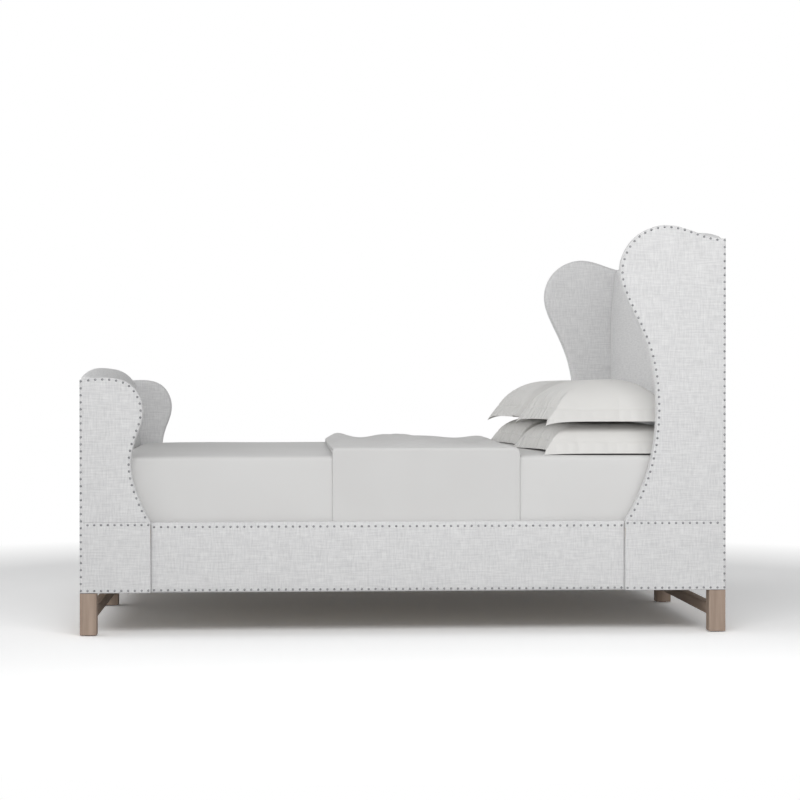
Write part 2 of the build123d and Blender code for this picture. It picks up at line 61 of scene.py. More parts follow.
# Each end of the bed: its side, the crown and drop of its arch over the rails, and its wing's edge
# as depths inside the end face and heights over the rails
ENDS = {
    "headboard": (HEAD, 1.048, 0.062, [
        (0, 0.986), (0.052, 0.991), (0.118, 1.012), (0.210, 1.031), (0.319, 0.987), (0.371, 0.876),
        (0.328, 0.733), (0.271, 0.600), (0.242, 0.411), (0.256, 0.241), (0.353, 0),
    ]),
    "footboard": (FOOT, 0.540, 0.040, [
        (0, 0.492), (0.097, 0.499), (0.170, 0.478), (0.203, 0.438), (0.215, 0.363),
        (0.192, 0.291), (0.175, 0.200), (0.194, 0.105), (0.242, 0),
    ]),
}


# Camera

# Place in metres, lens and sensor in millimetres, and degrees it looks down and turns to the right
CAMERA_PLACE = (-0.4562, -8.2544, 0.8475)
CAMERA_LENS, CAMERA_SENSOR = 94.14, 36
CAMERA_DIP, CAMERA_TURN = 0.30, 3.463


def make_camera():
    """Camera at the near side of the bed, at the photograph's viewing angle."""
    data = bpy.data.cameras.new("camera")
    data.lens, data.sensor_width = CAMERA_LENS, CAMERA_SENSOR
    camera = bpy.data.objects.new("camera", data)
    camera.location = CAMERA_PLACE
    camera.rotation_euler = (radians(90 - CAMERA_DIP), 0, radians(-CAMERA_TURN))
    bpy.context.scene.collection.objects.link(camera)
    bpy.context.scene.camera = camera


# Materials

class Nodes:
    """Short hand for building the nodes of a new material or a new world."""

    def __init__(self, name, world=False):
        self.owner = (bpy.data.worlds if world else bpy.data.materials).new(name)
        self.owner.use_nodes = True
        self.tree = self.owner.node_tree
        self.tree.nodes.clear()
        self.output = self.add("OutputWorld" if world else "OutputMaterial")

    def add(self, kind, inputs=None, **settings):
        """New node with values or sockets for its inputs."""
        node = self.tree.nodes.new("ShaderNode" + kind)
        for key, value in settings.items():
            setattr(node, key, value)
        for key, value in (inputs or {}).items():
            socket = node.inputs[key]
            if isinstance(value, bpy.types.NodeSocket):
                self.tree.links.new(value, socket)
            else:
                socket.default_value = value
        return node

    def math(self, operation, *values, clamp=False):
        inputs = dict(enumerate(values))
        return self.add("Math", inputs, operation=operation, use_clamp=clamp).outputs[0]

    def ramp(self, value, low, high, start=0.0, stop=1.0):
        """Value from low to high, turned into start to stop and held at both."""
        limits = {"From Min": low, "From Max": high, "To Min": start, "To Max": stop}
        return self.add("MapRange", {"Value": value, **limits}).outputs["Result"]

    def blend(self, share, first, second):
        """Number between two others."""
        return self.add("Mix", {0: share, 2: first, 3: second}).outputs[0]

    def mix(self, share, first, second):
        """Colour between two others."""
        node = self.add("Mix", {0: share, 6: first, 7: second}, data_type="RGBA")
        return node.outputs[2]

    def noise(self, vector, scale, detail=2.0, roughness=0.5):
        inputs = {"Vector": vector, "Scale": scale, "Detail": detail, "Roughness": roughness}
        return self.add("TexNoise", inputs).outputs["Fac"]

    def stretch(self, vector, scale):
        return self.add("Mapping", {"Vector": vector, "Scale": scale}).outputs[0]

    def bump(self, height, strength, distance, normal=None):
        inputs = {"Height": height, "Strength": strength, "Distance": distance}
        if normal is not None:
            inputs["Normal"] = normal
        return self.add("Bump", inputs).outputs[0]

    def seen(self):
        """1 for rays that the camera sees directly, in a reflection or through glass, else 0."""
        path = self.add("LightPath").outputs
        direct = self.math("MAXIMUM", path["Is Camera Ray"], path["Is Glossy Ray"])
        return self.math("MAXIMUM", direct, path["Is Transmission Ray"])

    def surface(self, shader):
        """Joins a shader to the output and gives the material or the world."""
        self.tree.links.new(shader, self.output.inputs["Surface"])
        return self.owner

    def finish(self, **inputs):
        return self.surface(self.add("BsdfPrincipled", inputs).outputs[0])


def colour(red, green, blue):
    """Linear colour of 8 bit sRGB values."""
    values = [value / 255 for value in (red, green, blue)]
    return tuple(v / 12.92 if v <= 0.04045 else ((v + 0.055) / 1.055) ** 2.4 for v in values) + (1,)


def cloth_plane(nodes):
    """Place in the plane of the cloth, whichever way the surface faces."""
    place = nodes.add("SeparateXYZ", {0: nodes.add("TexCoord").outputs["Object"]}).outputs
    normal = nodes.add("SeparateXYZ", {0: nodes.add("NewGeometry").outputs["True Normal"]}).outputs
    x, y, z = (nodes.math("ABSOLUTE", socket) for socket in normal)
    end_on = nodes.math("GREATER_THAN", x, nodes.math("MAXIMUM", y, z))
    level = nodes.math("GREATER_THAN", z, nodes.math("MAXIMUM", x, y))
    across = nodes.blend(end_on, place[0], place[1])
    along = nodes.blend(level, place[2], place[1])
    return nodes.add("CombineXYZ", {0: across, 1: along}).outputs[0]


def weave_height(nodes, plane, pitch):
    """Over and under of threads at a pitch, from 0 to 1."""
    axes = nodes.add("SeparateXYZ", {0: plane}).outputs
    waves = [nodes.math("SINE", nodes.math("MULTIPLY", axis, pi / pitch)) for axis in axes[:2]]
    crossing = nodes.math("MULTIPLY", *waves)
    threads = [nodes.math("ABSOLUTE", wave) for wave in waves]
    return nodes.blend(nodes.math("GREATER_THAN", crossing, 0.0), *threads)


def linen(name, light, dark):
    """Upholstery linen: a basket weave with slubs along both sets of threads."""
    nodes = Nodes(name)
    plane = cloth_plane(nodes)
    weave = weave_height(nodes, plane, 0.0016)
    across = nodes.noise(nodes.stretch(plane, (18, 190, 1)), 1.0, 4.0, 0.6)
    upright = nodes.noise(nodes.stretch(plane, (190, 24, 1)), 1.0, 4.0, 0.6)
    blotch = nodes.noise(nodes.stretch(plane, (9, 9, 9)), 1.0, 4.0)
    slubs = nodes.math("MULTIPLY", nodes.math("ADD", across, upright), 0.5)
    tone = nodes.math("MULTIPLY", nodes.ramp(slubs, 0.34, 0.66), 0.8)
    tone = nodes.math("ADD", tone, nodes.math("MULTIPLY", weave, 0.2))
    patches = nodes.math("MULTIPLY", nodes.math("SUBTRACT", blotch, 0.5), 0.25)
    tone = nodes.math("ADD", tone, patches, clamp=True)
    shade = nodes.mix(tone, dark, light)
    normal = nodes.bump(slubs, 0.3, 0.001)
    normal = nodes.bump(weave, 0.3, 0.0004, normal)
    return nodes.finish(**{
        "Base Color": shade, "Roughness": 0.92, "Normal": normal,
        "Sheen Weight": 0.15, "Sheen Roughness": 0.6, "Specular IOR Level": 0.15,
    })


def cotton(name, light, dark, pitch, gathered=0.0):
    """Bed linen: close plain weave, soft creases and a faint sheen.

    gathered is the height in metres of fine gathers on faces that look along the bed."""
    nodes = Nodes(name)
    plane = cloth_plane(nodes)
    weave = weave_height(nodes, plane, pitch)
    place = nodes.add("TexCoord").outputs["Object"]
    rumple_and_shade = nodes.noise(place, 4.0, 2.0, 0.4)
    fibre = nodes.noise(place, 900.0, 2.0)
    # Painted shade: the colour follows the height of the soft creases, darker in their hollows,
    # with a fine fibre tone on top
    tone = nodes.ramp(nodes.math("ADD", rumple_and_shade, nodes.math("MULTIPLY", fibre, 0.4)), 0.2, 1.2)
    shade = nodes.mix(tone, dark, light)
    normal = nodes.bump(rumple_and_shade, 0.1, 0.01)
    if gathered:
        facing = nodes.add("SeparateXYZ", {0: nodes.add("NewGeometry").outputs["Normal"]}).outputs
        end_on = nodes.ramp(nodes.math("ABSOLUTE", facing[0]), 0.3, 0.7)
        creases = nodes.noise(nodes.stretch(place, (2, 24, 2.5)), 1.0, 2.0, 0.5)
        normal = nodes.bump(nodes.math("MULTIPLY", creases, end_on), 1.0, gathered, normal)
    normal = nodes.bump(weave, 0.2, 0.0003, normal)
    return nodes.finish(**{
        "Base Color": shade, "Roughness": 0.8, "Normal": normal,
        "Sheen Weight": 0.12, "Sheen Roughness": 0.5, "Specular IOR Level": 0.2,
    })


def oak(name, light, dark, long_axis):
    """Timber with its grain along an axis: rings stretched into streaks, pores and dull knots."""
    nodes = Nodes(name)
    place = nodes.add("TexCoord").outputs["Object"]
    scale = [1.0 if axis == long_axis else 14.0 for axis in range(3)]
    fine = [8.0 if axis == long_axis else 420.0 for axis in range(3)]
    warp = nodes.noise(nodes.stretch(place, [s * 1.6 for s in scale]), 1.0, 2.0)
    rings = nodes.noise(nodes.stretch(place, [s * 5.0 for s in scale]), 1.0, 5.0, 0.6)
    pores = nodes.noise(nodes.stretch(place, fine), 1.0, 2.0, 0.6)
    bands = nodes.math("ADD", nodes.math("MULTIPLY", warp, 6.0), nodes.math("MULTIPLY", rings, 2.0))
    bands = nodes.math("ADD", nodes.math("MULTIPLY", nodes.math("SINE", bands), 0.25), rings)
    tone = nodes.ramp(bands, 0.2, 0.85)
    open_pores = nodes.ramp(pores, 0.56, 0.72)
    shade = nodes.mix(nodes.math("MULTIPLY", open_pores, 0.45), nodes.mix(tone, dark, light), dark)
    height = nodes.math("SUBTRACT", nodes.math("MULTIPLY", tone, 0.4), open_pores)
    return nodes.finish(**{
        "Base Color": shade, "Roughness": nodes.ramp(tone, 0.0, 1.0, 0.72, 0.6),
        "Normal": nodes.bump(height, 0.4, 0.0006), "Specular IOR Level": 0.3,
    })


def metal(name, light, dark, low, high, grain):
    """Metal with small differences in colour and polish."""
    nodes = Nodes(name)
    place = nodes.add("TexCoord").outputs["Object"]
    patches = nodes.noise(place, grain, 4.0, 0.6)
    fine = nodes.noise(place, grain * 12, 2.0)
    return nodes.finish(**{
        "Base Color": nodes.mix(nodes.ramp(patches, 0.35, 0.65), dark, light), "Metallic": 1.0,
        "Roughness": nodes.ramp(patches, 0.3, 0.7, low, high),
        "Normal": nodes.bump(fine, 0.15, 0.0003),
    })


def plastic(name, light, dark):
    """Moulded plastic with a fine grain."""
    nodes = Nodes(name)
    grain = nodes.noise(nodes.add("TexCoord").outputs["Object"], 700.0, 3.0)
    return nodes.finish(**{
        "Base Color": nodes.mix(grain, dark, light), "Roughness": 0.45,
        "Normal": nodes.bump(grain, 0.2, 0.0002),
    })


# Each material's kind, its light and its dark colour in 8 bit sRGB, and what its kind also asks for
LOOKS = {
    "linen_weave": (linen, (232, 232, 232), (199, 199, 200)),
    "sheet_cotton": (cotton, (219, 219, 218), (213, 212, 211), 0.0005),
    "blanket_cotton": (cotton, (216, 216, 215), (209, 208, 207), 0.0007),
    "pillow_cotton": (cotton, (222, 221, 219), (216, 215, 212), 0.0005, 0.03),
    "weathered_oak": (oak, (196, 176, 160), (156, 137, 123), 2),
    "oak_stretcher": (oak, (196, 176, 160), (156, 137, 123), 1),
    "plywood": (oak, (214, 188, 148), (184, 152, 110), 1),
    "softwood": (oak, (222, 200, 160), (196, 166, 120), 1),
    "softwood_long": (oak, (222, 200, 160), (196, 166, 120), 0),
    "nail_pewter": (metal, (158, 159, 161), (112, 113, 115), 0.3, 0.48, 260.0),
    "zinc_steel": (metal, (196, 199, 202), (150, 154, 158), 0.3, 0.5, 60.0),
    "glide_plastic": (plastic, (58, 56, 54), (38, 37, 36)),
}
MATERIALS = {
    name: kind(name, colour(*light), colour(*dark), *rest)
    for name, (kind, light, dark, *rest) in LOOKS.items()
}


# Meshes

def make_object(name, points, faces, slot, body="bed_frame", replaces=()):
    """Smooth closed mesh, ridden on its body, standing for CAD nodes."""
    mesh = bpy.data.meshes.new(name)
    mesh.from_pydata([tuple(point) for point in points], [], faces)
    build = bmesh.new()
    build.from_mesh(mesh)
    bmesh.ops.recalc_face_normals(build, faces=build.faces)
    for face in build.faces:
        face.smooth = True
    build.to_mesh(mesh)
    build.free()
    mesh.materials.append(MATERIALS[slot])
    piece = bpy.data.objects.new(name, mesh)
    bpy.context.scene.collection.objects.link(piece)
    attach(piece, body)
    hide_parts(*replaces)
    return piece


def ring_faces(rings, count):
    """Quads between closed rings of the same number of points."""
    faces = []
    for ring in range(rings - 1):
        for step in range(count):
            a, b = ring * count + step, ring * count + (step + 1) % count
            faces.append((a, b, b + count, a + count))
    return faces


def ripple(point, scale, seed):
    """Smooth noise at a place, from about -1 to 1."""
    return noise.noise(Vector(point) * scale + Vector((seed, 3 * seed, 7 * seed)))


def smooth_curve(points, spacing):
    """Points along the smooth curve that runs through the given ones."""
    points = np.array(points, float)
    chords = np.linalg.norm(np.diff(points, axis=0), axis=1)
    at = np.concatenate([[0], np.cumsum(chords)])
    last = len(points) - 1
    slopes = np.diff(points, axis=0) / chords[:, None]
    matrix, right = np.zeros((last + 1, last + 1)), np.zeros((last + 1, 2))
    for i in range(1, last):
        before, after = chords[i - 1], chords[i]
        matrix[i, i - 1:i + 2] = after, 2 * (before + after), before
        right[i] = 3 * (after * slopes[i - 1] + before * slopes[i])
    for i, near in ((0, slice(0, 4)), (last, slice(last - 3, last + 1))):
        matrix[i, i] = 1
        right[i] = np.polyfit(at[near] - at[i], points[near], 3)[2]
    tangents = np.linalg.solve(matrix, right)
    place = np.linspace(0, at[-1], max(2, round(at[-1] / spacing)) + 1)
    k = np.clip(np.searchsorted(at, place, side="right") - 1, 0, last - 1)
    h, s = chords[k][:, None], ((place - at[k]) / chords[k])[:, None]
    return ((2 * s**3 - 3 * s**2 + 1) * points[k] + (s**3 - 2 * s**2 + s) * h * tangents[k]
            + (3 * s**2 - 2 * s**3) * points[k + 1] + (s**3 - s**2) * h * tangents[k + 1])


def straight(start, stop, spacing):
    """Even points on a line."""
    start, stop = np.array(start, float), np.array(stop, float)
    steps = max(1, round(np.linalg.norm(stop - start) / spacing))
    return start + (stop - start) * np.linspace(0, 1, steps + 1)[:, None]


def edge_frames(edge):
    """Unit headings along an edge of a clockwise loop, and unit normals into the loop."""
    headings = np.gradient(edge, axis=0)
    headings /= np.linalg.norm(headings, axis=1)[:, None]
    return headings, np.stack([headings[:, 1], -headings[:, 0]], 1)


def meeting_point(first, heading, second, other):
    """Point where two lines meet, each given by a point and a heading."""
    cross = heading[0] * other[1] - heading[1] * other[0]
    if abs(cross) < 0.05:
        return (first + second) / 2
    offset = second - first
    return first + heading * (offset[0] * other[1] - offset[1] * other[0]) / cross


# How far along its edges a corner's shift fades out
CORNER_REACH = 0.2


def draw_in(edges, insets):
    """Edges of a clockwise loop, each drawn in by its own inset, still joined at their corners."""
    frames = [edge_frames(edge) for edge in edges]
    drawn = [edge + normals * inset for edge, (_, normals), inset in zip(edges, frames, insets)]
    count = len(edges)
    corners = [
        meeting_point(drawn[k][-1], frames[k][0][-1], drawn[(k + 1) % count][0],
                      frames[(k + 1) % count][0][0])
        for k in range(count)
    ]
    moved = []
    for k, edge in enumerate(drawn):
        at = np.concatenate([[0], np.cumsum(np.linalg.norm(np.diff(edges[k], axis=0), axis=1))])
        reach = min(at[-1], CORNER_REACH)
        for corner, end, far in ((corners[k - 1], 0, at), (corners[k], -1, at[-1] - at)):
            weight = np.clip(1 - far / reach, 0, 1)[:, None]
            edge = edge + (corner - edge[end]) * weight
        moved.append(edge)
    return moved


def closed(edges):
    """Closed loop of points of edges that meet at their ends."""
    return np.concatenate([edge[:-1] for edge in edges])


def edge_distance(points, loop):
    """Distance of points to a closed loop, and whether they lie inside it."""
    start, stop = loop, np.roll(loop, -1, 0)
    along = stop - start
    offset = points[:, None] - start[None]
    share = np.clip((offset * along).sum(2) / (along**2).sum(1), 0, 1)
    distance = np.linalg.norm(offset - share[..., None] * along, axis=2).min(1)
    above = (start[:, 1] > points[:, 1:2]) != (stop[:, 1] > points[:, 1:2])
    rise = np.where(along[:, 1] == 0, 1, along[:, 1])
    crossing = start[:, 0] + (points[:, 1:2] - start[:, 1]) * along[:, 0] / rise
    inside = (above & (points[:, 0:1] < crossing)).sum(1) % 2 == 1
    return distance, inside


def fill_loop(loop, spacing):
    """Points on a grid inside a loop, and the triangles that join them and the loop."""
    inner = np.zeros((0, 2))
    if spacing:
        low, high = loop.min(0), loop.max(0)
        grid = np.meshgrid(*(np.arange(a + spacing / 2, b, spacing) for a, b in zip(low, high)))
        grid = np.stack([axis.ravel() for axis in grid], 1)
        distance, inside = edge_distance(grid, loop)
        inner = grid[inside & (distance > spacing * 0.55)]
    points = np.concatenate([loop, inner])
    result = geometry.delaunay_2d_cdt(
        [Vector(point) for point in points], [], [list(range(len(loop)))], 1, 1e-7
    )
    names = [origin[0] for origin in result[3]]
    return inner, [tuple(names[corner] for corner in face) for face in result[2]]


def make_plate(name, edges, soft, rings, place, swell, slot, spacing=EDGE_STEP, **options):
    """Padded plate: rings of (inset, depth, rim) inside a loop of edges, closed by two caps.

    soft holds each edge's share of the insets, for the front rim (0) and for the back rim (1).
    swell gives each cap's rise over its last ring, from place and distance to that ring."""
    points, loops = [], []
    for inset, depth, rim in rings:
        loops.append(closed(draw_in(edges, [inset * share[rim] for share in soft])))
        points += [(a, b, depth) for a, b in loops[-1]]
    count = len(loops[0])
    faces = ring_faces(len(rings), count)
    for ring, rise in ((0, swell[0]), (len(rings) - 1, swell[1])):
        inner, triangles = fill_loop(loops[ring], spacing if rise else None)
        first = len(points) - count
        if len(inner):
            distance = edge_distance(inner, loops[ring])[0]
            depth = rings[ring][1]
            points += [(a, b, depth + rise(a, b, d)) for (a, b), d in zip(inner, distance)]
        for triangle in triangles:
            faces.append([ring * count + c if c < count else first + c for c in triangle])
    return make_object(name, [place(*point) for point in points], faces, slot, **options)


def swelling(height, reach, start=0.0):
    """Rise of padding that starts at a distance from its rim and levels off after a reach."""
    return lambda a, b, distance: height * (1 - np.exp(-max(0.0, distance - start) / reach))


# Wings

# Rings of a wing from its outer face inwards, as inset and depth in millimetres and rim, and each
# edge's share of the insets at both rims: end face, curve, seam with the rail and underside
WING_RINGS = [(inset / 1000, depth / 1000, rim) for inset, depth, rim in (
    (9, 1.8, 0), (7.2, 1.7, 0), (6, 1.1, 0), (4.6, 0.9, 0), (3, 1.4, 0), (1.6, 2.8, 0), (0.6, 5, 0),
    (0.1, 9, 0), (0, 15, 0), (0, 24, 1), (0, 34, 1), (0.2, 41, 1), (1, 46.5, 1), (2.8, 51, 1),
    (5.5, 54.6, 1), (9, 57, 1), (14, 58.6, 1), (20, 59, 1),
)]
WING_SOFTNESS = [(0.7, 0.08), (1, 1), (0.3, 0.1), (1.1, 0.1)]
# How far the foot of a wing's seam with the rail runs past the seam, so that no gap shows
SEAM_LAP = 0.0012

# Rings of a flat cover in millimetres, its swelling, and how far its edges lie inside the wing's
COVER_RINGS = [(inset / 1000, depth / 1000, 0) for inset, depth in (
    (4, 0), (2, 0.05), (0.9, 0.35), (0.2, 0.9), (0, 1.6), (0, 2.6),
)]
COVER_SWELL = 0.0025
UPPER_COVER_INSETS = [0.005, 0.007, 0.001]
LOWER_COVER_INSETS = [0.003, 0.0008, 0.0012, 0.0015]


def make_wing(name, end, profile, side_name):
    """Wing padded round its edge, with an outer cover over the rails' height and one under it."""
    side = SIDES[side_name]
    seam, top = profile[-1][0], RAIL_TOP + profile[0][1]

    def place(depth, z, inside):
        return end * (HALF_LENGTH - depth), side * (HALF_WIDTH - inside), z

    curve = smooth_curve([(depth, RAIL_TOP + height) for depth, height in profile], CURVE_STEP)
    make_plate(
        f"{name}_wing_{side_name}",
        [
            straight((0, UNDERSIDE), (0, top), EDGE_STEP), curve,
            straight((seam, RAIL_TOP), (seam + SEAM_LAP, UNDERSIDE), EDGE_STEP),
            straight((seam + SEAM_LAP, UNDERSIDE), (0, UNDERSIDE), EDGE_STEP),
        ],
        WING_SOFTNESS, WING_RINGS, place,
        (None, swelling(0.003, 0.05)), "linen_weave",
        replaces=[f"{name}_wing_cover_{side_name}"],
    )
    upper = draw_in([
        straight((0, RAIL_TOP), (0, top), EDGE_STEP), curve,
        straight((seam, RAIL_TOP), (0, RAIL_TOP), EDGE_STEP),
    ], UPPER_COVER_INSETS)
    make_plate(
        f"{name}_outer_panel_{side_name}", upper, [(1, 1)] * 3, COVER_RINGS, place,
        (swelling(-COVER_SWELL, 0.03, 0.006), None), "linen_weave",
        replaces=[f"{name}_wing_panel_{side_name}"],
    )
    lower = draw_in([
        straight((0, UNDERSIDE), (0, RAIL_TOP), EDGE_STEP),
        straight((0, RAIL_TOP), (seam, RAIL_TOP), EDGE_STEP),
        straight((seam, RAIL_TOP), (seam, UNDERSIDE), EDGE_STEP),
        straight((seam, UNDERSIDE), (0, UNDERSIDE), EDGE_STEP),
    ], LOWER_COVER_INSETS)
    make_plate(
        f"{name}_lower_panel_{side_name}", lower, [(1, 1)] * 4, COVER_RINGS, place,
        (swelling(-COVER_SWELL, 0.03, 0.008), None), "linen_weave",
        replaces=[f"{name}_side_panel_{side_name}"],
    )


# Padded panels between the wings

# How far the padding reaches into the wings, and how far beside them it draws down and in, fading
# out over a reach; its own swelling; and places of points inside its sides
PANEL_LAP = 0.002
PANEL_SINK, PANEL_PULL, PANEL_PULL_REACH = 0.005, 0.006, 0.012
PANEL_SWELL = 0.0015
PANEL_SIDE_STEPS = np.array([0, 0.002, 0.005, 0.009, 0.015, 0.024, 0.036, 0.05])
# Gaps of the covered back to the wings and to the underside, and how far it lies outside the frame
BACK_SIDE_GAP, BACK_FOOT_GAP, BACK_PROUD = 0.0015, 0.002, 0.001
BACK_STEP = 0.02


def arch_top(y, crown, drop):
    """Height of a panel's top across the bed."""
    return RAIL_TOP + crown - drop * (abs(y) / HALF_WIDTH) ** 3


def panel_profile(top):
    """Depths and heights of a panel's surface: up its face, over its roll and down its back."""
    radius, angle = PANEL_FACE_RADIUS, PANEL_FACE_ANGLE
    shoulder_depth = PANEL_DEPTH - radius * (1 - cos(angle))
    roll = (shoulder_depth - PANEL_RIDGE) / cos(angle)
    turn = top - radius * sin(angle) - roll * (1 - sin(angle))
    low = UNDERSIDE + 0.001
    points = [(PANEL_DEPTH, z) for z in np.linspace(low, turn, 24)]
    points += [
        (PANEL_DEPTH - radius + radius * cos(a), turn + radius * sin(a))
        for a in np.linspace(0, angle, 16)[1:]
    ]
    middle = PANEL_DEPTH - radius + (radius - roll) * cos(angle)
    level = turn + (radius - roll) * sin(angle)
    points += [
        (middle + roll * cos(a), level + roll * sin(a))
        for a in np.linspace(angle, pi / 2, 14)[1:]
    ]
    back = PANEL_BACK_RADIUS
    points += [
        (back + back * cos(a), top - back + back * sin(a))
        for a in np.linspace(pi / 2, pi * 0.97, 8)
    ]
    return points + [(0.0005, z) for z in np.linspace(top - 0.03, low, 20)]


def make_panel(name, end, crown, drop):
    """Panel padding with a rolled top, drawn in softly beside the wings, and its covered back."""
    span = HALF_INNER + PANEL_LAP
    edge = span - PANEL_SIDE_STEPS
    places = sorted([*edge, *-edge, *np.linspace(-0.9, 0.9, 61)])
    points = []
    for y in places:
        drawn = np.exp(-(span - abs(y)) / PANEL_PULL_REACH)
        top = arch_top(y, crown, drop) - PANEL_SINK * drawn
        for depth, z in panel_profile(top):
            face = np.clip(depth / PANEL_DEPTH, 0, 1) ** 2
            swell = PANEL_SWELL * sin(pi * min(1, (z - UNDERSIDE) / (top - UNDERSIDE)))
            depth += face * (swell - PANEL_PULL * drawn)
            points.append((end * (HALF_LENGTH - depth), y, z))
    count = len(points) // len(places)
    faces = ring_faces(len(places), count)
    faces += [tuple(range(count)), tuple(range(len(points) - count, len(points)))]
    make_object(f"{name}_cushioning", points, faces, "linen_weave", replaces=[f"{name}_padding"])

    core = crown - PANEL_TOP_PAD
    half = HALF_INNER - BACK_SIDE_GAP
    arch = np.array([(y, arch_top(y, core, drop)) for y in np.linspace(-half, half, 121)])
    low = UNDERSIDE + BACK_FOOT_GAP
    edges = [
        straight((-half, low), arch[0], EDGE_STEP), arch,
        straight(arch[-1], (half, low), EDGE_STEP), straight((half, low), (-half, low), BACK_STEP),
    ]
    make_plate(
        f"{name}_back", edges, [(1, 1)] * 4, COVER_RINGS,
        lambda y, z, inside: (end * (HALF_LENGTH + BACK_PROUD - inside), y, z),
        (swelling(-0.001, 0.05, 0.01), None), "linen_weave", spacing=BACK_STEP,
        replaces=[f"{name}_back_panel"],
    )


# Side rails

# Rings of a rail from its outer face inwards, as inset and depth in millimetres and rim, and each
# edge's share of the insets at both rims: foot end, top, head end and underside
RAIL_RINGS = [(inset / 1000, depth / 1000, rim) for inset, depth, rim in (
    (15, 0, 0), (10, 0.8, 0), (6, 2, 0), (3.5, 3.4, 0), (1.5, 5.4, 0), (0.4, 8, 0), (0, 11, 0),
    (0, 22, 0), (0, 35, 1), (0.4, 38.5, 1), (1.5, 41, 1), (3.5, 42.8, 1), (6, 43.7, 1), (9, 44, 1),
)]
RAIL_SOFTNESS = [(0.5, 0.2), (1, 1), (0.5, 0.2), (0.45, 0.8)]
# Rows of nails under a rail's top and over its underside
NAIL_TOP_INSET, NAIL_BOTTOM_INSET = 0.0155, 0.0095
# Swelling of a rail's face between its rows of nails and outside them, and its reach from a row
RAIL_SWELL, RAIL_LIP, RAIL_REACH = 0.003, 0.0008, 0.022


def make_rail(side_name):
    """Side rail in its padding: its faces swell between the two rows of nails."""
    side = SIDES[side_name]
    low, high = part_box(f"rail_cover_{side_name}")
    outer = max(abs(low.y), abs(high.y))
    rows = (high.z - NAIL_TOP_INSET, low.z + NAIL_BOTTOM_INSET)
    edges = [
        straight((low.x, low.z), (low.x, high.z), EDGE_STEP),
        straight((low.x, high.z), (high.x, high.z), RAIL_STEP),
        straight((high.x, high.z), (high.x, low.z), EDGE_STEP),
        straight((high.x, low.z), (low.x, low.z), RAIL_STEP),
    ]

    def swell(x, z, distance):
        row = min(abs(z - place) for place in rows)
        height = RAIL_SWELL if rows[1] < z < rows[0] else RAIL_LIP
        return -height * (1 - np.exp(-row / RAIL_REACH))

    make_plate(
        f"rail_cushioning_{side_name}", edges, RAIL_SOFTNESS, RAIL_RINGS,
        lambda x, z, inside: (x, side * (outer - inside), z),
        (swell, swelling(0.001, 0.03)), "linen_weave", replaces=[f"rail_cover_{side_name}"],
    )


# Bedding

def rounded_box(low, high, radii, steps):
    """Points and faces of a closed box with rounded edges: radii and steps for each axis."""
    centre, half = (low + high) / 2, (high - low) / 2
    axes = []
    for axis in range(3):
        turn = np.sin(np.linspace(0, pi / 2, 7))[1:] * radii[axis]
        flat = half[axis] - radii[axis]
        middle = np.linspace(-flat, flat, steps[axis])
        axes.append(np.concatenate([-(flat + turn[::-1]), middle, flat + turn]))
    points, faces, seen = [], [], {}

    def corner(index):
        if index not in seen:
            raw = np.array([axes[a][index[a]] for a in range(3)])
            core = np.clip(raw, -(half - radii), half - radii)
            reach = (raw - core) / radii
            largest = np.abs(reach).max()
            if largest > 0:
                reach = reach / np.linalg.norm(reach) * min(largest, 1)
            seen[index] = len(points)
            points.append(centre + core + reach * radii)
        return seen[index]

    for axis in range(3):
        b, c = (axis + 1) % 3, (axis + 2) % 3
        for face_index in (0, len(axes[axis]) - 1):
            for i in range(len(axes[b]) - 1):
                for j in range(len(axes[c]) - 1):
                    square = []
                    for di, dj in ((0, 0), (1, 0), (1, 1), (0, 1)):
                        index = [0, 0, 0]
                        index[axis], index[b], index[c] = face_index, i + di, j + dj
                        square.append(corner(tuple(index)))
                    faces.append(tuple(square))
    return np.array(points), faces


# Mattress: its edges' radii and the numbers of its points for each axis; the bow of its sides; the
# sink of its corners; the depth of its corner creases; and the unevenness of its sides and its top
MATTRESS_RADII, MATTRESS_STEPS = np.array([0.024, 0.024, 0.014]), (110, 100, 22)
MATTRESS_BOW, MATTRESS_SINK, MATTRESS_CREASE = 0.004, 0.004, 0.0025
SIDE_RIPPLE, TOP_RIPPLE = 0.0008, 0.0015


def make_mattress():
    """Mattress in a fitted sheet: bowed sides, soft edges, and creases at its corners."""
    low, high = (np.array(corner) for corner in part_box("mattress"))
    points, faces = rounded_box(low, high, MATTRESS_RADII, MATTRESS_STEPS)
    centre, half = (low + high) / 2, (high - low) / 2
    for point in points:
        share = (point - centre) / half
        bow = MATTRESS_BOW * (1 - share[2] ** 2)
        for axis in (0, 1):
            if abs(share[axis]) > 0.93:
                point[axis] += np.sign(share[axis]) * bow
                point[axis] += SIDE_RIPPLE * ripple(point, 9.0, 4.0)
        if share[2] > 0.9:
            point[2] += TOP_RIPPLE * ripple(point, 3.0, 2.0) - 0.001
            point[2] -= MATTRESS_SINK * min(1, abs(share[0])) ** 6 * min(1, abs(share[1])) ** 6
        pleat = max(0, abs(share[0]) - 0.9) * max(0, abs(share[1]) - 0.9) * 100
        crease = pleat * sin(point[2] * 130 + 9 * share[0])
        point[:2] += MATTRESS_CREASE * crease * np.sign(share[:2])
    piece = make_object(
        "mattress_sheet", points, faces, "sheet_cotton", body="mattress", replaces=["mattress"]
    )


def smooth_step(value):
    """Eased step from 0 to 1."""
    value = min(1.0, max(0.0, value))
    return value * value * (3 - 2 * value)


# Height of the blanket's top over the mattress: at the far side as pairs of share of its width,
# from its foot edge to its head edge, and height; and at the near side
BLANKET_TOP = [
    (0, 0.014), (0.03, 0.025), (0.06, 0.036), (0.13, 0.029), (0.216, 0.018), (0.34, 0.031),
    (0.463, 0.028), (0.65, 0.024), (0.835, 0.017), (0.95, 0.024), (1, 0.016),
]
BLANKET_NEAR_TOP = 0.027
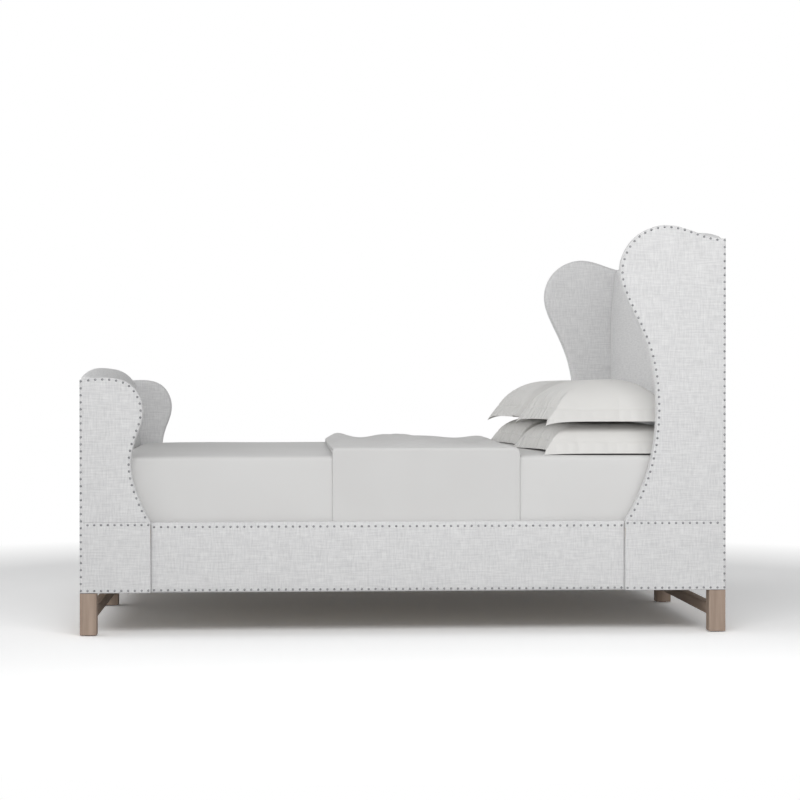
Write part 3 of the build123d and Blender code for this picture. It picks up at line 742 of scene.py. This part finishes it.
# Its thickness at the sides, its gap to the mattress and its radii over the mattress's edges
BLANKET_SIDE, BLANKET_GAP = 0.009, 0.001
BLANKET_INNER_RADIUS, BLANKET_OUTER_RADIUS = 0.015, 0.012
# Height of the soft folds on its top, the least height of the top and the sink of its head edge
BLANKET_FOLDS, BLANKET_LEAST, BLANKET_SINK = 0.016, 0.008, 0.009
# How far its foot edge and its head edge run towards the head from the near side to the middle
BLANKET_FOOT_SKEW, BLANKET_HEAD_SKEW = 0.011, 0.040
# Outline of an edge: its depth as a share of the width, and pairs of share of that depth and of the
# thickness, with the notch between the two layers in the middle
BLANKET_EDGE_DEPTH = 0.018
BLANKET_EDGE = [
    (0.45, 0.05), (0.12, 0.15), (0, 0.27), (0.15, 0.39), (0.6, 0.455), (1.5, 0.49),
    (1.5, 0.51), (0.6, 0.545), (0.15, 0.61), (0, 0.73), (0.12, 0.85), (0.45, 0.95),
]


def blanket_path(inner_y, inner_top, low):
    """Steps across the blanket: inner Y and Z, outer Y, outer Z's share of the height, its drop."""
    inner_radius, outer_radius = BLANKET_INNER_RADIUS, BLANKET_OUTER_RADIUS
    path = []
    for k in np.linspace(0, 1, 20):
        z = low + k * (inner_top - inner_radius - low)
        path.append((-inner_y, z, -inner_y - BLANKET_SIDE, k, outer_radius * k))
    for angle in np.linspace(0, pi / 2, 9)[1:]:
        turn, rise = 1 - cos(angle), 1 - sin(angle)
        path.append((-inner_y + inner_radius * turn, inner_top - inner_radius * rise,
                     -inner_y - BLANKET_SIDE + outer_radius * turn, 1, outer_radius * rise))
    half = path[:-1]
    reach, outer_reach = -path[-1][0], -path[-1][2]
    for share in np.linspace(-1, 1, 100):
        path.append((share * reach, inner_top, share * outer_reach, 1, 0))
    path.pop(len(half))
    path += [(-y, z, -outer, k, drop) for y, z, outer, k, drop in reversed(half)]
    return path


def make_blanket():
    """Blanket folded in two over the mattress: a padded band with a rolled fold at each side."""
    low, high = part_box("folded_blanket")
    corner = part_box("mattress")[1]
    inner_y, inner_top = corner.y + BLANKET_GAP, corner.z + BLANKET_GAP
    width = high.x - low.x
    loop = [(s, 0) for s in np.linspace(0.04, 0.96, 40)]
    loop += [(1 - BLANKET_EDGE_DEPTH * k, h) for k, h in BLANKET_EDGE]
    loop += [(s, 1) for s in np.linspace(1 - BLANKET_EDGE_DEPTH, BLANKET_EDGE_DEPTH, 90)]
    loop += [(BLANKET_EDGE_DEPTH * k, h) for k, h in reversed(BLANKET_EDGE)]
    top = smooth_curve(BLANKET_TOP, 0.01)
    path = blanket_path(inner_y, inner_top, low.z)
    points = []
    for y, z, outer_y, k, drop in path:
        across = y / inner_y
        level = smooth_step((k - 0.9) * 10)
        far = smooth_step((across + 1) / 1.1)
        for s, h in loop:
            slant = s - 0.10 * (1 - across) * sin(pi * s)
            far_top = np.interp(slant, top[:, 0], top[:, 1])
            puff = BLANKET_NEAR_TOP + far * (far_top - BLANKET_NEAR_TOP)
            fold = ripple((s * 4.6 + across * 1.6, across * 0.7, 0), 1.6, 5.0)
            fold += 0.25 * ripple((s * 8 - across * 2.2, across * 0.6, 0), 1.6, 8.0)
            puff += BLANKET_FOLDS * fold * sin(pi * s) ** 0.5 * smooth_step((1 - abs(across)) * 4)
            puff = max(puff, BLANKET_LEAST)
            puff -= BLANKET_SINK * max(0.0, 1 - (1 - s) / 0.03) ** 2 * level
            outer_z = low.z + k * (inner_top + puff - low.z) - drop
            side = 0.0011 * ripple((s * 5, y, z * 4), 1.5, 2.0) * (1 - level)
            skew = BLANKET_FOOT_SKEW * (1 - s) + BLANKET_HEAD_SKEW * s
            x = low.x + s * width + (1 + across) * skew
            outward = (outer_y - y) * h + side * h * np.sign(y)
            points.append((x, y + outward, z + (outer_z - z) * h))
    faces = ring_faces(len(path), len(loop))
    faces += [tuple(range(len(loop))), tuple(range(len(points) - len(loop), len(points)))]
    piece = make_object(
        "blanket", points, faces, "blanket_cotton", body="folded_blanket",
        replaces=["folded_blanket"],
    )


# Pillows

# Form of each layer's pillows, as pairs of distance inside the hem and share of the height
PILLOW_PROFILES = {
    "lower": [
        (0, 0), (0.008, 0.16), (0.017, 0.31), (0.028, 0.46), (0.040, 0.59), (0.056, 0.71),
        (0.076, 0.81), (0.098, 0.88), (0.122, 0.93), (0.146, 0.963), (0.170, 0.984), (0.194, 1),
    ],
    "upper": [
        (0, 0), (0.008, 0.08), (0.025, 0.23), (0.050, 0.48), (0.064, 0.585), (0.087, 0.71),
        (0.120, 0.835), (0.155, 0.925), (0.195, 0.98), (0.230, 1),
    ],
}
# How far the sides draw in at the hem and swell at the crown
PILLOW_DRAW = 0.008
# How much sooner the head side slopes down, and how far the foot side draws in between its ears
HEAD_SLUMP = {"lower": 1.15, "upper": 1.6}
WAIST = 0.032
# At each pillow's foot side: the rise of its hem beside the near corner, and the drops of its near
# and its far ear
HEMS = {
    "lower_pillow_near": (0.015, 0.001, 0.0), "upper_pillow_near": (0.013, 0.012, 0.020),
    "lower_pillow_far": (0.006, -0.003, 0.0), "upper_pillow_far": (0.005, -0.016, 0.021),
}
# Heights of the hem's two faces and how far its rise reaches inwards, and the rounding of ridges
HEM_TOP, HEM_UNDER, HEM_FADE = 0.0012, 0.0003, 0.05
RIDGE_ROUNDING = 0.016
# An ear's reach, how far it sticks out along and across the bed, and its drop at the head side
EAR_REACH, EAR_OUT, HEAD_EAR_DROP = 0.03, (0.005, 0.003), 0.003
# Places of points inside a hem, and where the even ones start and their spacing
HEM_STEPS = np.array([
    0, 0.0015, 0.004, 0.008, 0.013, 0.018, 0.0225, 0.0255, 0.0285, 0.0315, 0.0345, 0.038, 0.043,
    0.050, 0.058,
])
HEM_WIDTH, PILLOW_STEP = 0.067, 0.0095
# Height of the flange's seam over the hem, and the seam's depth and width
FLANGE = 0.047
SEAM_DEPTH, SEAM_WIDTH = 0.0034, 0.0032
# How far from the hem the dressed sides reach, and spacing and depth of the gathers on the long
# sides, of the folds on the ends and of the border's creases
DRESSED_REACH = 0.16
GATHER_PITCH, GATHER_DEPTH = 0.085, 0.024
FOLD_PITCH, FOLD_DEPTH = 0.13, 0.014
CREASE_PITCH, CREASE_DEPTH = 0.045, 0.0034


def hem_grid(half):
    """Places across a pillow, closer together beside its hems."""
    middle = half - HEM_WIDTH
    inner = np.linspace(-middle, middle, round(2 * middle / PILLOW_STEP))
    return np.concatenate([-half + HEM_STEPS, inner, (half - HEM_STEPS)[::-1]])


def soft_least(a, b, reach):
    """Lesser of two distances, rounded off where they are nearly alike."""
    least = np.minimum(a, b)
    blend = np.maximum(0, reach - np.abs(a - b)) ** 2 / (4 * reach)
    return np.maximum(0, least - blend * (1 - np.exp(-least / 0.02)))


def pillow_points(name, layer, half, height):
    """Points of a pillow's top and underside round its middle, and their distances to the hem."""
    lift, near_ear, far_ear = HEMS[name]
    x, y = np.meshgrid(hem_grid(half[0]), hem_grid(half[1]), indexing="ij")
    gap_x, gap_y = half[0] - np.abs(x), half[1] - np.abs(y)
    slumped = half[0] * (gap_x / half[0]) ** HEAD_SLUMP[layer]
    inside = soft_least(np.where(x > 0, slumped, gap_x), gap_y, RIDGE_ROUNDING)
    curve = smooth_curve(PILLOW_PROFILES[layer], 0.004)
    share = np.interp(inside, curve[:, 0], curve[:, 1])
    reach = PILLOW_PROFILES[layer][-1][0]
    bulge = PILLOW_DRAW * (2 * np.minimum(inside / reach, 1) - 1)
    px = x + bulge * (1 - (y / half[1]) ** 2) * x / half[0]
    py = y + bulge * (1 - (x / half[0]) ** 2) * y / half[1]
    px = px + WAIST * (1 - (y / half[1]) ** 2) * np.clip(-x / half[0], 0, 1) ** 2
    foot = np.exp(-(x + half[0]) / HEM_FADE)
    from_near = (y + half[1]) / (2 * half[1])
    hem = foot * lift * (1 - from_near) ** 1.2 * (1 - np.exp(-from_near / 0.03))
    hem += 0.003 * (1 - np.exp(-gap_x / 0.06)) * np.exp(-gap_y / HEM_FADE)
    ear = np.exp(-(gap_x + gap_y) / EAR_REACH)
    drop = np.where(x > 0, HEAD_EAR_DROP, np.where(y < 0, near_ear, far_ear))
    hem = hem * (1 - ear) - drop * ear
    px, py = px + EAR_OUT[0] * ear * np.sign(x), py + EAR_OUT[1] * ear * np.sign(y)
    fade = np.exp(-inside / HEM_FADE)
    top = HEM_TOP + (height - HEM_TOP) * share + hem * fade
    under = HEM_UNDER + hem * fade + 0.003 * (1 - np.exp(-inside / 0.01)) * fade
    return [np.stack([axis.ravel() for axis in (px, py, z)], 1) for z in (top, under)], inside


def subdivide(piece):
    """One applied step of smooth subdivision."""
    piece.modifiers.new("smooth", "SUBSURF").levels = 1
    graph = bpy.context.evaluated_depsgraph_get()
    mesh = bpy.data.meshes.new_from_object(piece.evaluated_get(graph))
    piece.modifiers.clear()
    piece.data = mesh


def make_pillow(layer, side_name, seed):
    """Pillow in a flanged cover: a full body, and a border that hangs down to a thin hem."""
    name = f"{layer}_pillow_{side_name}"
    low, high = (np.array(corner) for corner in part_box(name))
    centre, half = (low + high) / 2, (high - low) / 2
    sheets, inside = pillow_points(name, layer, half, high[2] - low[2])
    base = np.array([centre[0], centre[1], low[2]])
    rows, columns = inside.shape

    def grid(i, j, face):
        return face * rows * columns + i * columns + j

    faces = [
        (grid(i, j, face), grid(i + 1, j, face), grid(i + 1, j + 1, face), grid(i, j + 1, face))
        for face in (0, 1) for i in range(rows - 1) for j in range(columns - 1)
    ]
    rim = [(i, 0) for i in range(rows - 1)] + [(rows - 1, j) for j in range(columns - 1)]
    rim += [(i, columns - 1) for i in range(rows - 1, 0, -1)]
    rim += [(0, j) for j in range(columns - 1, 0, -1)]
    faces += [
        (grid(*a, 0), grid(*b, 0), grid(*b, 1), grid(*a, 1))
        for a, b in zip(rim, rim[1:] + rim[:1])
    ]
    points = np.concatenate(sheets) + base
    piece = make_object(name + "_sham", points, faces, "pillow_cotton", body=name, replaces=[name])
    subdivide(piece)
    dress_pillow(piece, base, half, high[2], seed)


def groove(phase):
    """Depth of narrow grooves, one for each half turn of the phase, from 0 to 1."""
    return (1 - abs(sin(phase))) ** 2


def dress_pillow(piece, base, half, top, seed):
    """Gathers on the long sides, soft folds on the ends, and the flange's seam with its creases."""
    count = len(piece.data.vertices)
    points, normals = np.zeros(count * 3, np.float32), np.zeros(count * 3, np.float32)
    piece.data.vertices.foreach_get("co", points)
    piece.data.vertices.foreach_get("normal", normals)
    points, normals = points.reshape(-1, 3).astype(float), normals.reshape(-1, 3).astype(float)
    local = points - base
    gap = half[:2] - np.abs(local[:, :2])
    long_side = gap[:, 0] < gap[:, 1]
    along = np.where(long_side, local[:, 1], local[:, 0])
    outer = np.minimum(gap[:, 0], gap[:, 1]) < DRESSED_REACH
    up = local[:, 2]
    flank = np.clip(1.25 - 1.3 * np.abs(normals[:, 2]), 0, 1) * (normals[:, 2] > -0.2) * outer
    corner = np.exp(-np.abs(gap[:, 0] - gap[:, 1]) / 0.02)
    seam = np.exp(-((up - FLANGE) / SEAM_WIDTH) ** 2)
    height = top - base[2]
    gathers = np.exp(-((up - 0.38 * height) / (0.24 * height)) ** 2)
    border = np.exp(-((up - 0.4 * FLANGE) / (0.45 * FLANGE)) ** 2)
    for index in np.nonzero(flank > 0.02)[0]:
        place, level = along[index], up[index]
        if long_side[index]:
            phase = place * pi / GATHER_PITCH + 2.6 * ripple((place, level * 0.3, 0), 6, seed)
            strength = 0.75 - 0.5 * place / half[1] + 0.7 * ripple((place, 0, 0), 6, seed + 2)
            move = -GATHER_DEPTH * gathers[index] * max(0.1, strength) * groove(phase)
        else:
            phase = place * pi / FOLD_PITCH + 3 * ripple((place, level * 0.25, 0), 7, seed + 4)
            strength = max(0.0, 0.35 + 1.3 * ripple((place, 0, 0), 5, seed + 5))
            move = -FOLD_DEPTH * gathers[index] * strength * groove(phase)
            phase = place * pi / CREASE_PITCH + 3 * ripple((place, 0, 0), 8, seed + 6)
            move += CREASE_DEPTH * border[index] * (abs(sin(phase)) - 0.6)
        points[index] += normals[index] * move * flank[index] * (1 - 0.85 * corner[index])
    points -= normals * (SEAM_DEPTH * seam * flank)[:, None]
    piece.data.vertices.foreach_set("co", np.asarray(points, np.float32).ravel())
    piece.data.update()


# Studio

# Strength of the surround at the horizon and overhead, and factors for what comes from the front
# (-Y) and from the left (-X), while the side across from each gets 2 less its factor
DOME_LOW, DOME_HIGH = 1.28, 0.09
DOME_FRONT, DOME_LEFT = 0.85, 1.5
WHITE = (1, 1, 1, 1)

# Floor: its tone for what the camera sees and for the light that it throws back, its faint glow,
# which is painted light that lifts the bed's shadow on it for the camera, its half size, and the
# distances from the bed's middle between which it fades to plain white
FLOOR_GAIN, FLOOR_BOUNCE = 1.2, 0.6
FLOOR_GLOW, FLOOR_GLOW_COLOUR = 0.04, (0.93, 0.97, 1, 1)
FLOOR_REACH = 60
FLOOR_FADE = (2.4, 3.8)

# Soft light from the front: where it is and where it points, its size in metres and its power
KEY_PLACE, KEY_TARGET = (0.4, -4.4, 2.8), (0.2, 0, 0.7)
KEY_WIDTH, KEY_HEIGHT, KEY_POWER = 4.5, 1.6, 95


def make_floor():
    """White floor that keeps the bed's shadow and fades into the white round it."""
    nodes = Nodes("floor")
    seen = nodes.seen()
    gain = nodes.ramp(seen, 0, 1, FLOOR_BOUNCE, FLOOR_GAIN)
    shade = nodes.add("CombineColor", {0: gain, 1: gain, 2: gain}).outputs[0]
    # Faint glow for the camera alone: painted light that lifts the bed's shadow on the floor
    strength = nodes.math("MULTIPLY", seen, FLOOR_GLOW)
    glow = nodes.add("Emission", {"Color": FLOOR_GLOW_COLOUR, "Strength": strength}).outputs[0]
    lit = nodes.add("BsdfDiffuse", {"Color": shade}).outputs[0]
    lit = nodes.add("AddShader", {0: lit, 1: glow}).outputs[0]
    white = nodes.add("Emission", {"Color": WHITE, "Strength": 1.0}).outputs[0]
    place = nodes.add("TexCoord").outputs["Object"]
    distance = nodes.add("VectorMath", {0: place}, operation="LENGTH").outputs["Value"]
    away = nodes.math("MULTIPLY", nodes.ramp(distance, *FLOOR_FADE), seen)
    material = nodes.surface(nodes.add("MixShader", {0: away, 1: lit, 2: white}).outputs[0])
    mesh = bpy.data.meshes.new("floor")
    low, high = -FLOOR_REACH, FLOOR_REACH
    corners = [(low, low, 0), (high, low, 0), (high, high, 0), (low, high, 0)]
    mesh.from_pydata(corners, [], [(0, 1, 2, 3)])
    mesh.materials.append(material)
    floor = bpy.data.objects.new("floor", mesh)
    bpy.context.scene.collection.objects.link(floor)


def make_surround():
    """Surround that is plain white to the camera and lights the bed mostly from the horizon."""
    nodes = Nodes("surround", world=True)
    direction = nodes.add("SeparateXYZ", {0: nodes.add("TexCoord").outputs["Generated"]}).outputs
    light = nodes.ramp(direction[2], 0, 1, DOME_LOW, DOME_HIGH)
    for axis, factor in ((0, DOME_LEFT), (1, DOME_FRONT)):
        slope = nodes.ramp(direction[axis], -1, 1, factor, 2 - factor)
        light = nodes.math("MULTIPLY", light, slope)
    lighting = nodes.add("Background", {"Color": WHITE, "Strength": light}).outputs[0]
    plain = nodes.add("Background", {"Color": WHITE, "Strength": 1.0}).outputs[0]
    mixed = nodes.add("MixShader", {0: nodes.seen(), 1: lighting, 2: plain}).outputs[0]
    bpy.context.scene.world = nodes.surface(mixed)


def make_key_light():
    """Wide soft light over the near side of the bed."""
    data = bpy.data.lights.new("key", "AREA")
    data.shape, data.energy = "RECTANGLE", KEY_POWER
    data.size, data.size_y = KEY_WIDTH, KEY_HEIGHT
    lamp = bpy.data.objects.new("key", data)
    lamp.location = KEY_PLACE
    heading = Vector(KEY_TARGET) - Vector(KEY_PLACE)
    lamp.rotation_euler = heading.to_track_quat("-Z", "Y").to_euler()
    bpy.context.scene.collection.objects.link(lamp)


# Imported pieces

# Part of a node's name, its slot and its material; the first that fits counts
CAD_LOOKS = [
    ("leg_stretchers", "weathered_oak", "oak_stretcher"),
    ("_leg_", "weathered_oak", "weathered_oak"),
    ("nails", "nail_pewter", "nail_pewter"),
    ("plywood", "plywood", "plywood"),
    ("wing_board", "plywood", "plywood"),
    ("glides", "glide_plastic", "glide_plastic"),
    ("bolts", "zinc_steel", "zinc_steel"),
    ("hook", "zinc_steel", "zinc_steel"),
    ("hangers", "zinc_steel", "zinc_steel"),
    ("rail_board", "softwood", "softwood_long"),
    ("ledger", "softwood", "softwood_long"),
    ("beam", "softwood", "softwood_long"),
    ("", "softwood", "softwood"),
]


def finish_cad_nodes():
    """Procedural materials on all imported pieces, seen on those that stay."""
    for name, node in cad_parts.items():
        slot, material = next(look[1:] for look in CAD_LOOKS if look[0] in name)
        node.data.materials.clear()
        node.data.materials.append(MATERIALS[material])


make_camera()
make_floor()
make_surround()
make_key_light()
finish_cad_nodes()
for name, (end, crown, drop, profile) in ENDS.items():
    make_panel(name, end, crown, drop)
    for side_name in SIDES:
        make_wing(name, end, profile, side_name)
for side_name in SIDES:
    make_rail(side_name)
make_mattress()
make_blanket()
pillows = [(layer, side_name) for layer in PILLOW_PROFILES for side_name in SIDES]
for seed, (layer, side_name) in enumerate(pillows, 1):
    make_pillow(layer, side_name, seed)

bpy.context.scene.view_settings.view_transform = "Standard"
